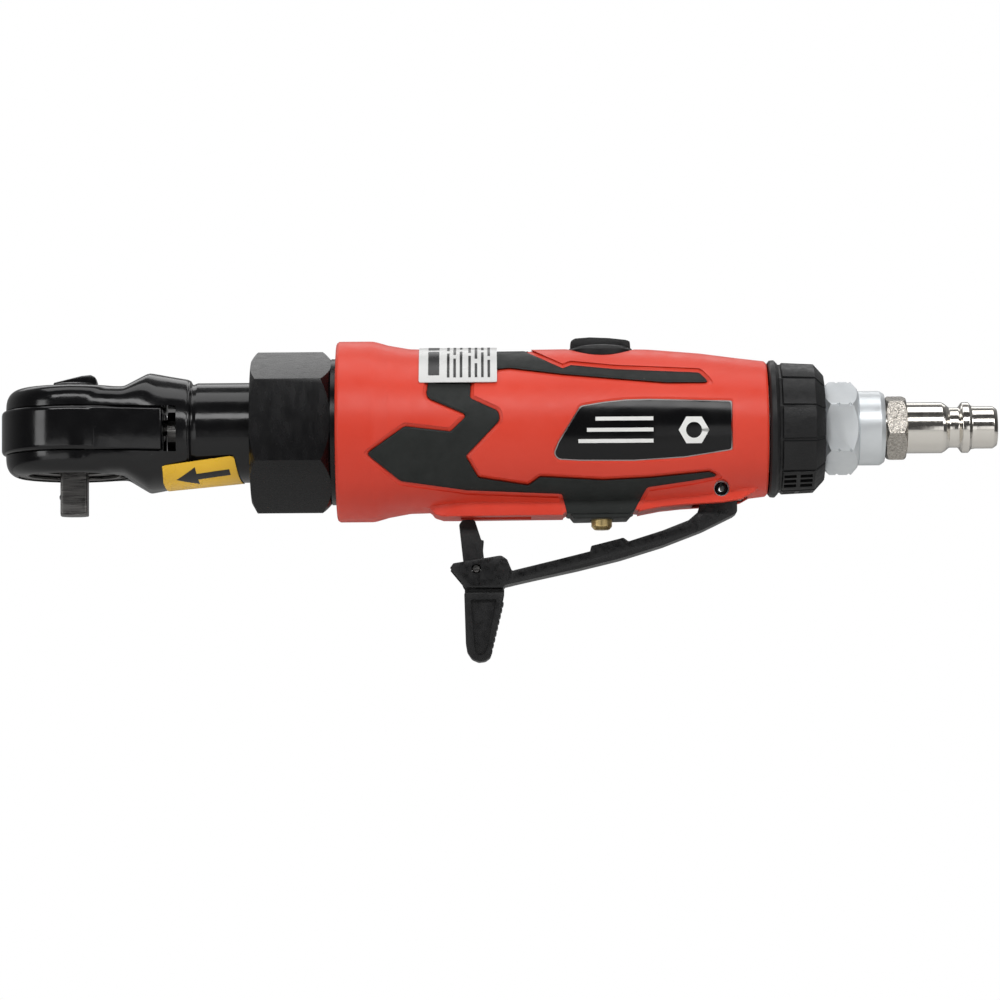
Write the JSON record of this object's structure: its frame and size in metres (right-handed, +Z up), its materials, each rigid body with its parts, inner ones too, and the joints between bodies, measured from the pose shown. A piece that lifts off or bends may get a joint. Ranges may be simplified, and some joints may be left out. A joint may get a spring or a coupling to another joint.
{
  "type": "air ratchet",
  "caption": "Inline pneumatic ratchet wrench with a square drive head, hex clamp nut, red grip, throttle lever with lock-off tab, regulator knob and air inlet plug.",
  "frame": {"origin": "middle of the square drive's end face", "axes": "+X along the tool from the drive head to the air inlet, +Z up from the drive's end through the head, Y across"},
  "size_m": [0.2355, 0.0428, 0.0766],
  "materials": {
    "black_forging": "gloss black paint over forged steel",
    "black_steel": "black oxide, machined",
    "steel": "ground",
    "red_plastic": "satin, fine grain",
    "black_rubber": "matte, fine grain",
    "black_plastic": "satin",
    "panel_black": "gloss",
    "aluminium": "machined",
    "brass": "turned",
    "nickel": "bright nickel plate",
    "zinc": "zinc plate",
    "label_white": "printed film",
    "label_yellow": "printed film",
    "seal_rubber": "moulded",
    "phenolic": "pressed laminate"
  },
  "bodies": {
    "housing": {"ratchet_housing": "black_forging", "thrust_washer": "black_steel", "retaining_ring": "black_steel", "crank_front_bearing": "steel", "crank_rear_bearing": "steel", "ring_gear": "steel", "gear_spacer": "steel", "clamp_nut": "black_forging", "motor_housing": "aluminium", "front_end_plate": "steel", "front_rotor_bearing": "steel", "motor_cylinder": "steel", "rear_end_plate": "steel", "rear_rotor_bearing": "steel", "valve_seal": "seal_rubber", "valve_spring": "steel", "grip_cover": "red_plastic", "grip_overmould": "black_rubber", "name_panel_right": "panel_black", "name_panel_left": "panel_black", "rating_label": "label_white", "rotation_label": "label_yellow", "lever_pin": "steel", "inlet_adapter": "zinc", "inlet_screen": "brass", "inlet_plug": "nickel"},
    "rocking_yoke": {"yoke": "black_forging"},
    "anvil": {"drive_anvil": "black_steel", "pawl_pin": "steel"},
    "pawl": {"pawl": "steel"},
    "reverser": {"reverse_knob": "black_steel"},
    "detent": {"detent_ball": "steel"},
    "crank": {"crankshaft": "steel", "planet_pin_1": "steel", "planet_pin_2": "steel", "planet_pin_3": "steel"},
    "bushing": {"drive_bushing": "steel"},
    "planet_1": {"planet_gear_1": "steel"},
    "planet_2": {"planet_gear_2": "steel"},
    "planet_3": {"planet_gear_3": "steel"},
    "rotor": {"rotor": "steel", "rotor_blade_1": "phenolic", "rotor_blade_2": "phenolic", "rotor_blade_3": "phenolic", "rotor_blade_4": "phenolic", "rotor_blade_5": "phenolic"},
    "lever": {"throttle_lever": "black_plastic", "lock_pin": "steel", "lock_spring": "steel"},
    "lock_off": {"lock_tab": "black_plastic"},
    "throttle": {"throttle_pin": "brass"},
    "regulator": {"regulator_knob": "black_plastic"},
    "deflector": {"exhaust_deflector": "black_plastic"}
  },
  "joints": [
    {"name": "yoke_rock", "type": "hinge", "parent": "housing", "child": "rocking_yoke", "pos_m": [0, 0, 0.0195], "axis": [0, 0, 1], "range_deg": [-4.1, 4.1]},
    {"name": "anvil_turn", "type": "hinge", "parent": "housing", "child": "anvil", "pos_m": [0, 0, 0.0195], "axis": [0, 0, 1], "continuous": true},
    {"name": "reverse_turn", "type": "hinge", "parent": "anvil", "child": "reverser", "pos_m": [0, 0, 0.0195], "axis": [0, 0, 1], "range_deg": [0, 60]},
    {"name": "pawl_rock", "type": "hinge", "parent": "anvil", "child": "pawl", "pos_m": [0, 0.0062, 0.0195], "axis": [0, 0, 1], "range_deg": [-16.01, 0]},
    {"name": "detent_press", "type": "slide", "parent": "anvil", "child": "detent", "axis": [1, 0, 0], "range_m": [0, 0.0005], "stiffness_N_per_m": 300, "springref_m": -0.0005},
    {"name": "rotor_spin", "type": "hinge", "parent": "housing", "child": "rotor", "pos_m": [0.08, 0, 0.0195], "axis": [1, 0, 0], "continuous": true},
    {"name": "crank_turn", "type": "hinge", "parent": "housing", "child": "crank", "pos_m": [0.03, 0, 0.0195], "axis": [1, 0, 0], "continuous": true},
    {"name": "bushing_turn", "type": "hinge", "parent": "crank", "child": "bushing", "pos_m": [0.019, 0, 0.0208], "axis": [1, 0, 0], "continuous": true},
    {"name": "planet_1_spin", "type": "hinge", "parent": "crank", "child": "planet_1", "pos_m": [0.053, 0.00651, 0.0195], "axis": [1, 0, 0], "continuous": true},
    {"name": "planet_2_spin", "type": "hinge", "parent": "crank", "child": "planet_2", "pos_m": [0.053, -0.00326, 0.02514], "axis": [1, 0, 0], "continuous": true},
    {"name": "planet_3_spin", "type": "hinge", "parent": "crank", "child": "planet_3", "pos_m": [0.053, -0.00326, 0.01386], "axis": [1, 0, 0], "continuous": true},
    {"name": "lever_swing", "type": "hinge", "parent": "housing", "child": "lever", "pos_m": [0.1527, 0, 0.0048], "axis": [0, 1, 0], "range_deg": [0, 8], "stiffness_Nm_per_rad": 0.6, "springref_deg": -3.44},
    {"name": "lock_off_turn", "type": "hinge", "parent": "lever", "child": "lock_off", "pos_m": [0.0949, 0, -0.0135], "axis": [0, 1, 0], "range_deg": [0, 80.01]},
    {"name": "throttle_press", "type": "slide", "parent": "housing", "child": "throttle", "axis": [0, 0, 1], "range_m": [0, 0.00191], "deforming": ["valve_spring"]},
    {"name": "regulator_turn", "type": "hinge", "parent": "housing", "child": "regulator", "pos_m": [0.1246, 0, 0.0195], "axis": [0, 0, 1], "range_deg": [-90, 90]},
    {"name": "deflector_turn", "type": "hinge", "parent": "housing", "child": "deflector", "pos_m": [0.17, 0, 0.0195], "axis": [1, 0, 0], "continuous": true}
  ],
  "couplings": [
    {"joint": "crank_turn", "follows": "rotor_spin", "ratio": 0.21429},
    {"joint": "pawl_rock", "follows": "reverse_turn", "ratio": -0.26667},
    {"joint": "lock_off_turn", "follows": "lever_swing", "ratio": 10},
    {"joint": "throttle_press", "follows": "lever_swing", "m_per_rad": 0.013608},
    {"joint": "planet_1_spin", "follows": "rotor_spin", "ratio": -0.58929},
    {"joint": "planet_2_spin", "follows": "rotor_spin", "ratio": -0.58929},
    {"joint": "planet_3_spin", "follows": "rotor_spin", "ratio": -0.58929}
  ]
}
